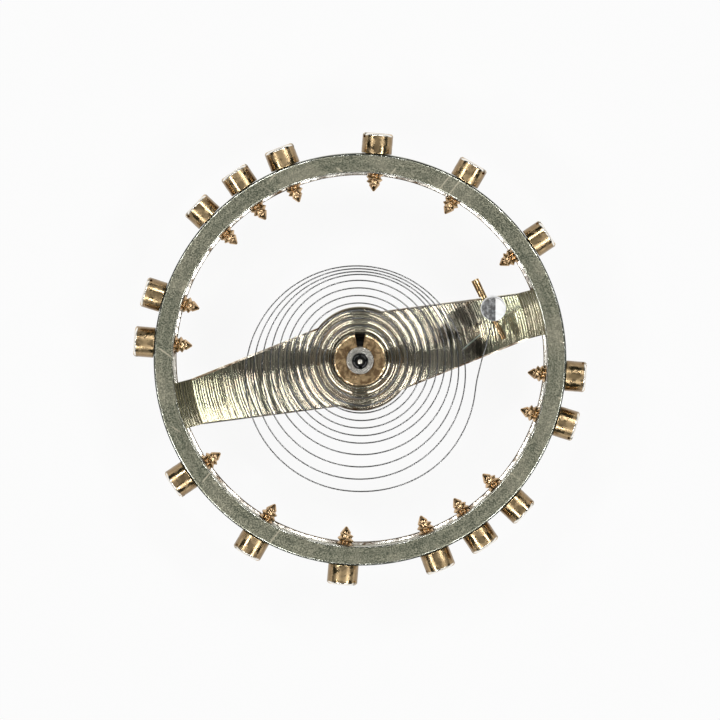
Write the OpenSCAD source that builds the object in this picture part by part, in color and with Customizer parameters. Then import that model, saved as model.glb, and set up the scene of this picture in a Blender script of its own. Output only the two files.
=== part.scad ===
// Screwed balance wheel of a lever watch, with its staff, double roller, flat hairspring and stud.
// Millimetres. The staff stands along +Z and its lower pivot ends at the origin.

/* [Rim and arm] */
// Outer diameter of the rim, without the screws
rim_d = 10; // [9:0.05:13]
// Width of the rim, seen from above
rim_w = 0.47; // [0.42:0.01:0.6]
// Height of the rim
rim_h = 0.8; // [0.78:0.01:1]
// Bevel round the rim's outer edges
rim_bevel = 0.07; // [0.03:0.01:0.1]
// Bevel round the rim's upper inner edge
rim_inner_bevel = 0.05; // [0.02:0.01:0.08]
// Width of the ledge left inside the rim at the level of the arm
ledge_w = 0.07; // [0.04:0.01:0.12]
// Thickness of the arm, hub and ledge
arm_t = 0.25; // [0.2:0.01:0.3]
// How far the arm's top lies below the rim's top
arm_drop = 0.45; // [0.42:0.01:0.5]
// Width that the arm's tapering sides would have at the staff
arm_w_hub = 2.18; // [1.8:0.02:2.3]
// Width of the arm beside the rim
arm_w_rim = 1.13; // [0.9:0.01:1.3]
// Width of the lowered band turned in the arm beside the rim
step_w = 0.41; // [0.3:0.01:0.6]
// Depth of that lowered band
step_depth = 0.05; // [0.02:0.01:0.08]
// Diameter of the round hub in the middle of the arm
hub_d = 2.54; // [2.4:0.02:2.8]
// Bevel round the hub's upper edge
hub_bevel = 0.06; // [0.02:0.01:0.1]
// Direction of the arm from +X, in degrees
arm_angle = 14.7; // [0:0.1:45]

/* [Timing screws] */
// Number of places for screws round the whole rim
screw_places = 28; // [28:28]
// Diameter of a screw's head
head_d = 0.74; // [0.6:0.01:0.76]
// Length of a screw's head
head_l = 0.49; // [0.35:0.01:0.6]
// Bevel round the head's outer end
head_bevel = 0.04; // [0.02:0.01:0.08]
// Width of the slot in the head
slot_w = 0.1; // [0.07:0.01:0.14]
// Depth of that slot
slot_depth = 0.12; // [0.08:0.01:0.18]
// Mean turn of the slots about their screws, where 90 lies along the rim
slot_turn = 90; // [0:5:180]
// How far single slots stand off that turn, as the screws were left by the adjuster
slot_spread = 35; // [0:5:40]
// Diameter over a screw's thread
thread_d = 0.4; // [0.36:0.01:0.44]
// Pitch of the thread
thread_pitch = 0.12; // [0.1:0.01:0.14]
// Depth of the thread
thread_depth = 0.05; // [0.03:0.005:0.07]
// Length of the threaded stub that stands inside the rim, before the point
stub_l = 0.14; // [0.08:0.01:0.2]
// Length of the point
point_l = 0.3; // [0.2:0.01:0.35]
// Diameter of the blunted end of the point
point_end_d = 0.05; // [0.03:0.01:0.1]

/* [Staff] */
// Diameter of both pivots
pivot_d = 0.11; // [0.09:0.005:0.13]
// Straight length of each pivot
pivot_l = 0.2; // [0.15:0.01:0.3]
// Radius of the hollow flare between a pivot and its shoulder
flare_r = 0.14; // [0.1:0.01:0.16]
// Diameter of the lower arbor that carries the rollers
arbor_d = 0.54; // [0.52:0.01:0.6]
// Length of the lower arbor
arbor_l = 0.86; // [0.85:0.01:1]
// Diameter of the flange under the hub
flange_d = 1.5; // [1.3:0.02:1.7]
// Thickness of that flange
flange_t = 0.25; // [0.2:0.01:0.35]
// Diameter of the seat that the wheel is riveted on
wheel_seat_d = 0.9; // [0.8:0.01:1]
// Width of the rivet's lip over the hub
rivet_lip = 0.06; // [0.03:0.01:0.08]
// Height of the rivet's lip
rivet_h = 0.06; // [0.04:0.01:0.08]
// Diameter of the seat that the collet is pushed on
collet_seat_d = 0.66; // [0.62:0.01:0.7]
// How far that seat stands above the collet
seat_above_collet = 0.1; // [0.05:0.01:0.15]
// Length of the slender cone from that seat to the upper flare
upper_cone_l = 0.22; // [0.15:0.01:0.5]
// Diameter of that cone at its foot
upper_cone_d = 0.42; // [0.4:0.01:0.5]

/* [Rollers] */
// Diameter of the roller table
table_d = 2.3; // [2.1:0.02:2.5]
// Thickness of the roller table
table_t = 0.2; // [0.15:0.01:0.22]
// Diameter of the boss between table and flange
table_boss_d = 0.96; // [0.85:0.01:1.1]
// Height of that boss
table_boss_h = 0.1; // [0.05:0.01:0.15]
// Diameter of the safety roller
safety_d = 1.1; // [0.95:0.01:1.2]
// Thickness of the safety roller
safety_t = 0.22; // [0.15:0.01:0.3]
// Radius of the crescent cut in the safety roller
crescent_r = 0.24; // [0.18:0.01:0.28]
// Length of the sleeve between safety roller and table
sleeve_l = 0.2; // [0.15:0.01:0.3]
// Distance from the staff's axis to the impulse jewel's axis
jewel_at = 0.86; // [0.8:0.01:0.9]
// Diameter of the impulse jewel
jewel_d = 0.36; // [0.3:0.01:0.4]
// How far the impulse jewel hangs below the table
jewel_drop = 0.5; // [0.4:0.01:0.52]
// Bevel round the edges of both rollers
roller_bevel = 0.025; // [0.01:0.005:0.04]
// Wall of the sleeve round the arbor
sleeve_wall = 0.1; // [0.06:0.01:0.15]

/* [Collet and hairspring] */
// Diameter of the collet
collet_d = 1.28; // [1.2:0.01:1.4]
// Height of the collet
collet_h = 0.55; // [0.45:0.01:0.65]
// Gap between the hub's top and the collet
collet_above_hub = 0.12; // [0.1:0.01:0.2]
// Bevel round the collet's upper edge
collet_bevel = 0.05; // [0.02:0.01:0.08]
// Width of the collet's slit at its outside
slit_w_out = 0.28; // [0.2:0.01:0.32]
// Width of the collet's slit at the staff
slit_w_in = 0.14; // [0.1:0.01:0.18]
// Height of the spring's blade
blade_h = 0.1; // [0.08:0.01:0.14]
// Thickness of the spring's blade
blade_t = 0.03; // [0.02:0.005:0.035]
// Distance from one turn of the spring to the next
spring_pitch = 0.183; // [0.18:0.001:0.186]
// Number of whole turns of the spring
spring_turns = 11; // [8:1:11]
// Distance of the innermost turn from the collet's side
inner_turn_gap = 0.137; // [0.12:0.001:0.15]
// How far each outer turn is set off centre from the one inside it
turn_shift = 0.116; // [0:0.002:0.12]
// Diameter of the hole for the spring in the collet
collet_hole_d = 0.22; // [0.2:0.01:0.24]
// Diameter of the pin that wedges the spring in the collet
collet_pin_d = 0.13; // [0.1:0.01:0.13]
// Length of that pin
collet_pin_l = 0.7; // [0.5:0.01:0.8]

/* [Stud] */
// Distance from the staff's axis to the stud's axis
stud_at = 3.46; // [3.4:0.01:3.5]
// Direction of the stud from +X, in degrees
stud_angle = 21.4; // [18:0.1:24]
// Diameter of the stud's round shank
stud_d = 0.56; // [0.5:0.01:0.58]
// Diameter of the stud's foot where it meets the shank
stud_foot_d = 0.62; // [0.6:0.01:0.66]
// How much narrower the foot is at its lower end
stud_foot_taper = 0.06; // [0.02:0.01:0.1]
// Height of the stud's foot
stud_foot_h = 0.5; // [0.46:0.01:0.55]
// Length of the stud's shank
stud_shank_l = 0.6; // [0.5:0.01:0.8]
// Slope of the flat filed on the shank's end, from level
stud_flat_slope = 42; // [30:1:50]
// How far that flat reaches across the shank's end
stud_flat_w = 0.32; // [0.2:0.01:0.36]
// Gap between the stud's foot and the arm's top
stud_above_arm = 0.22; // [0.2:0.01:0.3]
// Diameter of the hole across the stud
stud_hole_d = 0.22; // [0.2:0.01:0.24]
// Larger diameter of the taper pin in the stud
pin_d_big = 0.19; // [0.17:0.005:0.195]
// Smaller diameter of the taper pin
pin_d_small = 0.15; // [0.12:0.005:0.16]
// Length of the taper pin
pin_l = 1.6; // [1.2:0.05:1.7]
// How far the taper pin stands out towards the spring's side
pin_out_near = 0.8; // [0.7:0.01:0.85]

/* [Fits] */
// Radial clearance of parts that are pushed or riveted on the staff
seat_gap = 0.004; // [0.002:0.001:0.008]
// Radial clearance round a screw's thread and round a pin
hole_gap = 0.008; // [0.004:0.001:0.012]
// Gap under a screw's head and at faces that touch
face_gap = 0.004; // [0.002:0.001:0.008]
// Play on either side of the spring's blade where it is pinned
blade_play = 0.012; // [0.008:0.001:0.016]

/* [Hidden] */
// Places of the screws in each half of the rim, counted from the arm
screw_slots = [1, 3, 5, 7, 8, 9, 11, 12];
screws_per_half = len(screw_slots);
screw_count = 2 * screws_per_half;

rim_r = rim_d / 2;
rim_inner_r = rim_r - rim_w;
ledge_r = rim_inner_r - ledge_w;
step_r = rim_inner_r - step_w;

pivot_r = pivot_d / 2;
shoulder_r = pivot_r + flare_r;
pivot_round = pivot_r * 0.4;
arbor_r = arbor_d / 2;
arbor_z = pivot_l + flare_r;
flange_z = arbor_z + arbor_l;
arm_z = flange_z + flange_t;
arm_top = arm_z + arm_t;
rim_top = arm_top + arm_drop;
rim_z = rim_top - rim_h;
screw_z = rim_z + rim_h / 2;
wheel_seat_r = wheel_seat_d / 2;

collet_r = collet_d / 2;
collet_z = arm_top + collet_above_hub;
collet_seat_r = collet_seat_d / 2;
collet_seat_top = collet_z + collet_h + seat_above_collet;
upper_flare_z = collet_seat_top + upper_cone_l;
upper_pivot_z = upper_flare_z + flare_r;
staff_top = upper_pivot_z + pivot_l;

table_top = flange_z - face_gap - table_boss_h;
table_z = table_top - table_t;
sleeve_r = arbor_r + seat_gap + sleeve_wall;
safety_top = table_z - face_gap - sleeve_l;
safety_z = safety_top - safety_t;
jewel_r = jewel_d / 2;
// The jewel's flat and the crescent's reach into the roller, as shares of their radius
jewel_flat = jewel_r * 0.45;
crescent_in = crescent_r * 0.55;
jewel_z = table_z - jewel_drop;

blade_z = collet_z + collet_h / 2;
spring_r0 = collet_r + inner_turn_gap;
collet_hole_off = (collet_seat_r + seat_gap + collet_r) / 2;
collet_hole_r = collet_hole_d / 2;
collet_pin_r = collet_pin_d / 2;
stud_z = arm_top + stud_above_arm;
stud_r = stud_d / 2;
stud_top = stud_z + stud_foot_h + stud_shank_l;
stud_hole_r = stud_hole_d / 2;
stud_xy = stud_at * [cos(stud_angle), sin(stud_angle)];
// The hole across the stud points along the spring's path
stud_hole_angle = stud_angle + 94.6;
stud_hole_dir = [cos(stud_hole_angle), sin(stud_hole_angle)];
// The hole runs off the stud's axis, towards the staff
stud_hole_off = 0.11;
stud_hole_xy = stud_xy - stud_hole_off * [cos(stud_angle), sin(stud_angle)];
// How far off a hole's axis the blade lies in it, with its corners clear of the hole's wall
function blade_off(r) = sqrt(pow(r, 2) - pow(blade_h / 2, 2)) - blade_t / 2 - blade_play;
// The pin's flat leaves room for the blade beside it
pin_flat_off = blade_off(stud_hole_r) - blade_t / 2 - blade_play;
pin_seat = stud_hole_r - (pin_d_big / 2 + hole_gap);

// Spreads the slots' turns unevenly from screw to screw
slot_step = 137.5;

// Angle of the screw in place n, counted from one
function screw_angle(n) = arm_angle + 180 * floor((n - 1) / screws_per_half)
    + (screw_slots[(n - 1) % screws_per_half] + 0.5) * 360 / screw_places;

function screw_name(n) = str("timing_screw_", n < 10 ? "0" : "", n);

// How far every cut runs past the face that it goes through
cut = 1;

$fn = 96;

// The spring's path. It starts beside the collet and winds outwards, anticlockwise from above.
spring_start = -15;
spring_rings = 36;
// The turns outside this one lie off centre, towards the side opposite the stud's
shift_from = 6.95;
shift_dir = [cos(260), sin(260)];
// The last part of the path leaves the spiral and runs out to the stud
bend_at = spring_start + 360 * spring_turns + 10;
// Before that, the last turn opens a little
end_flare = 0.095;
flare_over = 60;
flare_from = bend_at - 90;
blade_end_off = stud_hole_off + blade_off(stud_hole_r);
blade_end = stud_xy - blade_end_off * [cos(stud_angle), sin(stud_angle)];
stub_in_stud = 0.3;
// How strongly the run-out keeps the last turn's direction, and the hole's direction at its end
run_out = 1.4;
stud_bend = 0.25;
blade_enter = blade_end - stub_in_stud * stud_hole_dir;
blade_leave = blade_end + stub_in_stud * stud_hole_dir;

function smooth(t) = let (u = max(0, min(1, t))) u * u * (3 - 2 * u);
function spiral_r(a) = spring_r0 + spring_pitch * (a - spring_start) / 360
    + end_flare * smooth((a - flare_from) / flare_over);
function spiral_shift(a) = turn_shift * max(0, (a - spring_start) / 360 - shift_from);
function spiral(a) = spiral_r(a) * [cos(a), sin(a)] + spiral_shift(a) * shift_dir;
function unit(v) = v / norm(v);
function hermite(p, q, u, v, t) = (2 * pow(t, 3) - 3 * pow(t, 2) + 1) * p
    + (pow(t, 3) - 2 * pow(t, 2) + t) * u
    + (3 * pow(t, 2) - 2 * pow(t, 3)) * q
    + (pow(t, 3) - pow(t, 2)) * v;

// Where the inner end comes out of the collet, and its direction there
collet_hole_angle = spring_start - 62;
collet_hole_dir = [cos(collet_hole_angle + 90), sin(collet_hole_angle + 90)];
collet_hole_mid = collet_hole_off * [cos(collet_hole_angle), sin(collet_hole_angle)];
collet_hole_end = sqrt(pow(collet_r, 2) - pow(collet_hole_off, 2));
blade_at_collet = collet_hole_mid
    + blade_off(collet_hole_r) * [cos(collet_hole_angle), sin(collet_hole_angle)];
blade_in_collet = blade_at_collet + collet_hole_end / 4 * collet_hole_dir;
blade_out_collet = blade_at_collet + 1.05 * collet_hole_end * collet_hole_dir;
spiral_from = spring_start + 20;

spring_path = concat(
    [blade_in_collet],
    [for (t = [0 : 1 / 8 : 1 - 1 / 16])
        hermite(blade_out_collet, spiral(spiral_from), collet_hole_dir / 2,
            unit(spiral(spiral_from + 1) - spiral(spiral_from)) / 2, t)],
    [for (a = [spiral_from : 360 / spring_rings : bend_at - 180 / spring_rings]) spiral(a)],
    [for (t = [0 : 1 / 10 : 1])
        hermite(spiral(bend_at), blade_enter, run_out * unit(spiral(bend_at + 1) - spiral(bend_at)),
            stud_bend * stud_hole_dir, t)],
    [blade_leave]
);

// Direction across the path at each of its points
function across(path, i) = let (
    a = path[max(0, i - 1)],
    b = path[min(len(path) - 1, i + 1)],
    d = unit(b - a)
) [-d[1], d[0]];

spring_sides = [for (i = [0 : len(spring_path) - 1]) across(spring_path, i) * blade_t / 2];

// Least distance between neighbouring turns, measured on the path's points
function path_gap(path) = min([
    for (i = [0 : 2 : len(path) - 1])
        for (j = [i + round(spring_rings * 0.6) : 1 : min(len(path) - 1, i + round(spring_rings * 1.5))])
            norm(path[i] - path[j])
]) - blade_t;
echo(least_gap_between_turns = path_gap(spring_path));

// One ring turned about Z: a rectangle in the plane of radius and height, with bevelled corners
module turned_ring(r_in, r_out, z, h, bevel_out_top = 0, bevel_out_low = 0, bevel_in_top = 0) {
    rotate_extrude() polygon([
        [r_in, z],
        [r_out - bevel_out_low, z],
        [r_out, z + bevel_out_low],
        [r_out, z + h - bevel_out_top],
        [r_out - bevel_out_top, z + h],
        [r_in + bevel_in_top, z + h],
        [r_in, z + h - bevel_in_top]
    ]);
}

// A hollow flare from r_small at its end to r_small + flare_r at its foot, standing on z = 0
module flare(r_small) {
    rotate_extrude() difference() {
        square([r_small + flare_r, flare_r]);
        translate([r_small + flare_r, flare_r]) circle(r = flare_r);
    }
}

// A pivot with its flare, standing on z = 0 and pointing up
module pivot() {
    flare(pivot_r);
    translate([0, 0, flare_r]) cylinder(r = pivot_r, h = pivot_l - pivot_round);
    translate([0, 0, flare_r + pivot_l - pivot_round])
        cylinder(r1 = pivot_r, r2 = pivot_r - pivot_round, h = pivot_round);
}

module arm_outline() {
    intersection() {
        circle(r = rim_inner_r + rim_w / 2);
        polygon([
            for (s = [1, -1]) for (p = [
                [-rim_r, -arm_w_rim / 2], [-step_r, -arm_w_rim / 2], [0, -arm_w_hub / 2],
                [step_r, -arm_w_rim / 2], [rim_r, -arm_w_rim / 2]
            ]) s * p
        ]);
    }
}

module screw_hole(n) {
    rotate([0, 0, screw_angle(n)]) translate([ledge_r - step_w, 0, screw_z]) rotate([0, 90, 0])
        cylinder(r = thread_d / 2 + hole_gap, h = rim_w + ledge_w + step_w + cut);
}

module balance_wheel() {
    color([0.62, 0.6, 0.5]) difference() {
        union() {
            turned_ring(rim_inner_r, rim_r, rim_z, rim_h, rim_bevel, rim_bevel, rim_inner_bevel);
            turned_ring(ledge_r, rim_inner_r + rim_w / 2, arm_z, arm_t);
            translate([0, 0, arm_z]) rotate([0, 0, arm_angle]) linear_extrude(arm_t) arm_outline();
            turned_ring(0, hub_d / 2, arm_z, arm_t, hub_bevel);
        }
        turned_ring(step_r, rim_inner_r, arm_top - step_depth, 2 * step_depth);
        translate([0, 0, arm_z - cut]) cylinder(r = wheel_seat_r + seat_gap, h = arm_t + 2 * cut);
        for (n = [1 : screw_count]) screw_hole(n);
    }
}

module balance_staff() {
    color([0.55, 0.56, 0.58]) union() {
        translate([0, 0, arbor_z]) mirror([0, 0, 1]) pivot();
        translate([0, 0, arbor_z]) cylinder(r = arbor_r, h = arbor_l);
        translate([0, 0, flange_z]) cylinder(d = flange_d, h = flange_t - face_gap);
        translate([0, 0, flange_z]) cylinder(r = wheel_seat_r, h = flange_t + arm_t + face_gap);
        translate([0, 0, arm_top + face_gap])
            cylinder(r1 = wheel_seat_r + rivet_lip, r2 = wheel_seat_r, h = rivet_h - face_gap);
        translate([0, 0, arm_top]) cylinder(r = collet_seat_r, h = collet_seat_top - arm_top);
        translate([0, 0, collet_seat_top])
            cylinder(r1 = upper_cone_d / 2, r2 = shoulder_r, h = upper_cone_l);
        translate([0, 0, upper_flare_z]) pivot();
    }
}

// The impulse jewel's outline: a circle with a flat on its outer side
module jewel_outline(grow = 0) {
    rotate([0, 0, arm_angle]) translate([jewel_at, 0]) difference() {
        circle(r = jewel_r + grow);
        translate([jewel_flat + grow, -cut]) square([cut, 2 * cut]);
    }
}

module roller_table() {
    color([0.6, 0.6, 0.63]) difference() {
        union() {
            turned_ring(0, table_d / 2, table_z, table_t, roller_bevel, roller_bevel);
            translate([0, 0, table_z]) cylinder(d = table_boss_d, h = table_t + table_boss_h);
        }
        translate([0, 0, table_z - cut]) cylinder(r = arbor_r + seat_gap, h = table_t + 2 * cut);
        translate([0, 0, table_z - cut]) linear_extrude(table_t + 2 * cut) jewel_outline(hole_gap);
    }
}

module safety_roller() {
    color([0.6, 0.6, 0.63]) difference() {
        union() {
            turned_ring(0, safety_d / 2, safety_z, safety_t, roller_bevel, roller_bevel);
            translate([0, 0, safety_z]) cylinder(r = sleeve_r, h = safety_t + sleeve_l);
        }
        translate([0, 0, safety_z - cut]) cylinder(r = arbor_r + seat_gap, h = safety_t + 2 * cut);
        rotate([0, 0, arm_angle]) translate([safety_d / 2 + crescent_r - crescent_in, 0, safety_z - cut])
            cylinder(r = crescent_r, h = safety_t + 2 * cut);
    }
}

module impulse_jewel() {
    color([0.7, 0.08, 0.2]) translate([0, 0, jewel_z])
        linear_extrude(table_top - jewel_z) jewel_outline();
}

module collet() {
    color([0.8, 0.6, 0.3]) difference() {
        turned_ring(collet_seat_r + seat_gap, collet_r, collet_z, collet_h, collet_bevel, collet_bevel);
        translate([0, 0, collet_z - cut]) linear_extrude(collet_h + 2 * cut) polygon([
            [-slit_w_in / 2, 0], [slit_w_in / 2, 0],
            [slit_w_in / 2, collet_seat_r], [slit_w_out / 2, 1.1 * collet_r],
            [-slit_w_out / 2, 1.1 * collet_r], [-slit_w_in / 2, collet_seat_r]
        ]);
        translate([collet_hole_mid[0], collet_hole_mid[1], blade_z])
            rotate([0, 90, collet_hole_angle + 90])
            cylinder(r = collet_hole_r, h = 2 * collet_r, center = true);
    }
}

// The small pin lies in the collet's hole, on the staff's side of the blade
module collet_pin() {
    off = collet_hole_r - hole_gap - collet_pin_r;
    at = collet_hole_mid - off * [cos(collet_hole_angle), sin(collet_hole_angle)];
    color([0.8, 0.6, 0.3]) translate([at[0], at[1], blade_z])
        rotate([0, 90, collet_hole_angle + 90])
        cylinder(r = collet_pin_r, h = collet_pin_l, center = true);
}

module hairspring() {
    last = len(spring_path) - 1;
    color([0.3, 0.33, 0.38]) translate([0, 0, blade_z - blade_h / 2]) linear_extrude(blade_h)
        polygon(concat(
            [for (i = [0 : last]) spring_path[i] - spring_sides[i]],
            [for (i = [last : -1 : 0]) spring_path[i] + spring_sides[i]]
        ));
}

module hairspring_stud() {
    flat_edge = stud_flat_w - stud_r;
    color([0.6, 0.61, 0.64]) translate([stud_xy[0], stud_xy[1], 0]) difference() {
        union() {
            translate([0, 0, stud_z])
                cylinder(d1 = stud_foot_d - stud_foot_taper, d2 = stud_foot_d, h = stud_foot_h);
            translate([0, 0, stud_z + stud_foot_h]) cylinder(r = stud_r, h = stud_shank_l);
        }
        translate([flat_edge, 0, stud_top]) rotate([0, -stud_flat_slope, 0])
            translate([-2 * cut, -cut, 0]) cube([2 * cut, 2 * cut, cut]);
        rotate([0, 0, stud_angle]) translate([-stud_hole_off, 0, blade_z])
            rotate([0, 90, stud_hole_angle - stud_angle])
            cylinder(r = stud_hole_r, h = 2 * cut, center = true);
    }
}

// The taper pin, flattened on the side where the blade lies
module stud_pin() {
    side = [cos(stud_angle), sin(stud_angle)];
    at = stud_hole_xy + pin_seat * side;
    color([0.75, 0.58, 0.3]) translate([at[0], at[1], blade_z]) rotate([0, 0, stud_hole_angle])
        difference() {
            translate([-pin_out_near, 0, 0]) rotate([0, 90, 0])
                cylinder(r1 = pin_d_small / 2, r2 = pin_d_big / 2, h = pin_l);
            translate([-2 * cut, pin_flat_off + pin_seat, -cut]) cube([4 * cut, cut, 2 * cut]);
        }
}

// One timing screw, with its axis along +Z: the rim's outer wall is at z = 0 and the head stands above it
module screw_shape(turn) {
    shank_l = rim_w + stub_l;
    turns = floor(shank_l / thread_pitch);
    major = thread_d / 2;
    minor = major - thread_depth;
    difference() {
        rotate_extrude() polygon(concat(
            [[0, face_gap + head_l], [head_d / 2 - head_bevel, face_gap + head_l]],
            [[head_d / 2, face_gap + head_l - head_bevel], [head_d / 2, face_gap], [minor, face_gap]],
            [for (i = [0 : turns - 1]) each [
                [major, -(i + 0.5) * thread_pitch],
                [minor, -(i + 1) * thread_pitch]
            ]],
            [[major, -shank_l - thread_pitch / 2]],
            [[point_end_d / 2, -shank_l - point_l], [0, -shank_l - point_l]]
        ));
        rotate([0, 0, turn]) translate([-head_d, -slot_w / 2, face_gap + head_l - slot_depth])
            cube([2 * head_d, slot_w, cut]);
    }
}

module timing_screw(n) {
    color([0.78, 0.6, 0.32]) rotate([0, 0, screw_angle(n)]) translate([rim_r, 0, screw_z])
        rotate([0, 90, 0]) screw_shape(slot_turn + slot_spread * sin(slot_step * n));
}

balance_wheel();
balance_staff();
roller_table();
safety_roller();
impulse_jewel();
collet();
collet_pin();
hairspring();
hairspring_stud();
stud_pin();
for (n = [1 : screw_count])
    timing_screw(n);
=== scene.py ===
import math

import bpy
import bmesh
from mathutils import Matrix, Vector
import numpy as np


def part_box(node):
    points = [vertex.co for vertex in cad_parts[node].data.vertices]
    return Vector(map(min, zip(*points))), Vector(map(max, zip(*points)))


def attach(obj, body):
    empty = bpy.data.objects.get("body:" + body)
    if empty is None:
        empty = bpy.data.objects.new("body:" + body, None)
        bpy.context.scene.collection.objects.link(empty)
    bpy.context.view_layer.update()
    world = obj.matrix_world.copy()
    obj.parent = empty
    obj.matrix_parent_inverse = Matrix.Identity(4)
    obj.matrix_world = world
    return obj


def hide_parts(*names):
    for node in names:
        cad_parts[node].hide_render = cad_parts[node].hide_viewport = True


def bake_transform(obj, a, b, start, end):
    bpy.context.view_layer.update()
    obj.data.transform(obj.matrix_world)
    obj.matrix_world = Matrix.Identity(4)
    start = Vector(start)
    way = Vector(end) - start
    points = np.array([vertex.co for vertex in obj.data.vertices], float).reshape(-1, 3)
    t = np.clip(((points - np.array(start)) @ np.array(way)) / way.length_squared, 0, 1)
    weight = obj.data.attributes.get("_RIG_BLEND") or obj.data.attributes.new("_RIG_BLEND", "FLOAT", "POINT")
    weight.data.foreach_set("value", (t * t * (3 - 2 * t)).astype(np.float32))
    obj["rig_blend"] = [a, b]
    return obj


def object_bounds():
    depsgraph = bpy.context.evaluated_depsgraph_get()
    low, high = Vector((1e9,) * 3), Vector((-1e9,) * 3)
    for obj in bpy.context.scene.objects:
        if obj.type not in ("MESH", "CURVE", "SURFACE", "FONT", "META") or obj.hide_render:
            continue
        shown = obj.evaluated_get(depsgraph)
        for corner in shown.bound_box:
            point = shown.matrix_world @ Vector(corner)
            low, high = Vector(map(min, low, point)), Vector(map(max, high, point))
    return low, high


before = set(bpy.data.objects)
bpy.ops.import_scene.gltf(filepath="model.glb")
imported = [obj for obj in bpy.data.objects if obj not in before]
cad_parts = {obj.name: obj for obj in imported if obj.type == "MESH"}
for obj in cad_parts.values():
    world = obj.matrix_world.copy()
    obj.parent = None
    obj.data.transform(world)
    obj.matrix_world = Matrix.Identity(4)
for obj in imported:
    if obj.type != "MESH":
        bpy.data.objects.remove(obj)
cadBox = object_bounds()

scene = bpy.context.scene
scene.view_settings.view_transform = "Standard"
print("frame loaded:", len(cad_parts), "nodes")

# Shapes are drawn in millimetres and come to metres when they are finished
mm = 0.001
faceGap = 0.004  # between faces of two pieces that would otherwise touch
cutPast = 0.2  # how far a cutter reaches past what it cuts
far = 1.0  # longer than any small piece that a cutter crosses
near = 0.001  # for telling which surface a face lies on


def heights(node):
    low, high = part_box(node)
    return low.z / mm, high.z / mm


def heading(degrees):
    return Vector((math.cos(math.radians(degrees)), math.sin(math.radians(degrees))))


def turned(degrees, axis="Z"):
    return Matrix.Rotation(math.radians(degrees), 4, axis)


def moved(x, y, z):
    return Matrix.Translation((x, y, z))


lying = turned(90, "Y")
rimLow, rimTop = heights("balance_wheel")
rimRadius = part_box("balance_wheel")[1].x / mm
armDrop = 0.45  # from the rim's top down to the arm's
armTop = rimTop - armDrop


# Mesh tools

meshing = {"onAxis": 1e-9, "weld": 1e-5, "normalWeight": 90, "bevelSteps": 2}


def newObject(name, vertices, faces):
    mesh = bpy.data.meshes.new(name)
    mesh.from_pydata([tuple(v) for v in vertices], [], faces)
    mesh.update()
    obj = bpy.data.objects.new(name, mesh)
    scene.collection.objects.link(obj)
    return obj


def roundedOutline(corners, steps=3):
    # Each corner is (radius, height, reach); its curve reaches that far along both sides
    points = []
    for i, (radius, height, reach) in enumerate(corners):
        here = Vector((radius, height))
        if reach == 0:
            points.append(here)
            continue
        before = Vector(corners[i - 1][:2])
        after = Vector(corners[(i + 1) % len(corners)][:2])
        start = here + (before - here).normalized() * reach
        end = here + (after - here).normalized() * reach
        for s in range(steps + 1):
            t = s / steps
            points.append(start * (1 - t) ** 2 + here * 2 * t * (1 - t) + end * t ** 2)
    return points


def lathe(name, outline, segments, closed=False, groove=None):
    # Turns an outline of (radius, height, ...) about Z; a point on the axis becomes one vertex.
    # groove(point, angle) is how deep the surface is cut there.
    vertices = []
    rings = []
    for point in outline:
        radius = point[0]
        if radius < meshing["onAxis"]:
            rings.append([len(vertices)] * segments)
            vertices.append((0, 0, point[1]))
            continue
        rings.append(list(range(len(vertices), len(vertices) + segments)))
        for s in range(segments):
            a = 2 * math.pi * s / segments
            r = radius - groove(point, a) if groove else radius
            vertices.append((r * math.cos(a), r * math.sin(a), point[1]))
    pairs = list(zip(rings, rings[1:]))
    if closed:
        pairs.append((rings[-1], rings[0]))
    faces = []
    for low, high in pairs:
        for s in range(segments):
            n = (s + 1) % segments
            corner = [high[s], low[s], low[n], high[n]]
            face = [v for k, v in enumerate(corner) if v not in corner[:k]]
            if len(face) > 2:
                faces.append(face)
    return newObject(name, vertices, faces)


def turnedPiece(name, corners, segments, closed=False, steps=3):
    return lathe(name, roundedOutline(corners, steps), segments, closed)


def insetOutline(outline, inset):
    # Moves every corner of an anticlockwise outline inwards, so that its edges move by inset
    points = []
    count = len(outline)
    for i in range(count):
        here = Vector(outline[i])
        back = (here - Vector(outline[i - 1])).normalized()
        ahead = (Vector(outline[(i + 1) % count]) - here).normalized()
        inward = Vector((-back.y - ahead.y, back.x + ahead.x)).normalized()
        points.append(here + inward * inset / inward.dot(Vector((-back.y, back.x))))
    return points


def prism(name, outline, layers):
    # Upright, over an anticlockwise outline of (x, y); layers are (height, inset) from the bottom up
    vertices = []
    for z, inset in layers:
        vertices += [(p.x, p.y, z) for p in insetOutline(outline, inset)]
    count = len(outline)
    faces = [list(range(count))[::-1], list(range(len(vertices) - count, len(vertices)))]
    for low in range(0, len(vertices) - count, count):
        for i in range(count):
            n = (i + 1) % count
            faces.append([low + i, low + n, low + count + n, low + count + i])
    return newObject(name, vertices, faces)


def rod(radius, low, high, segments):
    # A round cutter along Z
    return lathe("cutter", [(0, low), (radius, low), (radius, high), (0, high)], segments)


def block(left, right, front, back, low, high):
    # A rectangular cutter
    outline = [(left, front), (right, front), (right, back), (left, back)]
    return prism("cutter", outline, [(low, 0), (high, 0)])


def turnedBy(obj, matrix):
    obj.data.transform(matrix)
    return obj


def applyModifiers(obj):
    bpy.context.view_layer.update()
    made = bpy.data.meshes.new_from_object(obj.evaluated_get(bpy.context.evaluated_depsgraph_get()))
    obj.modifiers.clear()
    old = obj.data
    obj.data = made
    bpy.data.meshes.remove(old)
    return obj


def combine(base, tools, how):
    # Boolean of base with each tool in turn; the tools are then deleted
    for tool in tools:
        step = base.modifiers.new("cut", "BOOLEAN")
        step.operation = how
        step.solver = "EXACT"
        step.object = tool
    applyModifiers(base)
    for tool in tools:
        bpy.data.objects.remove(tool)
    return base


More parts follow.
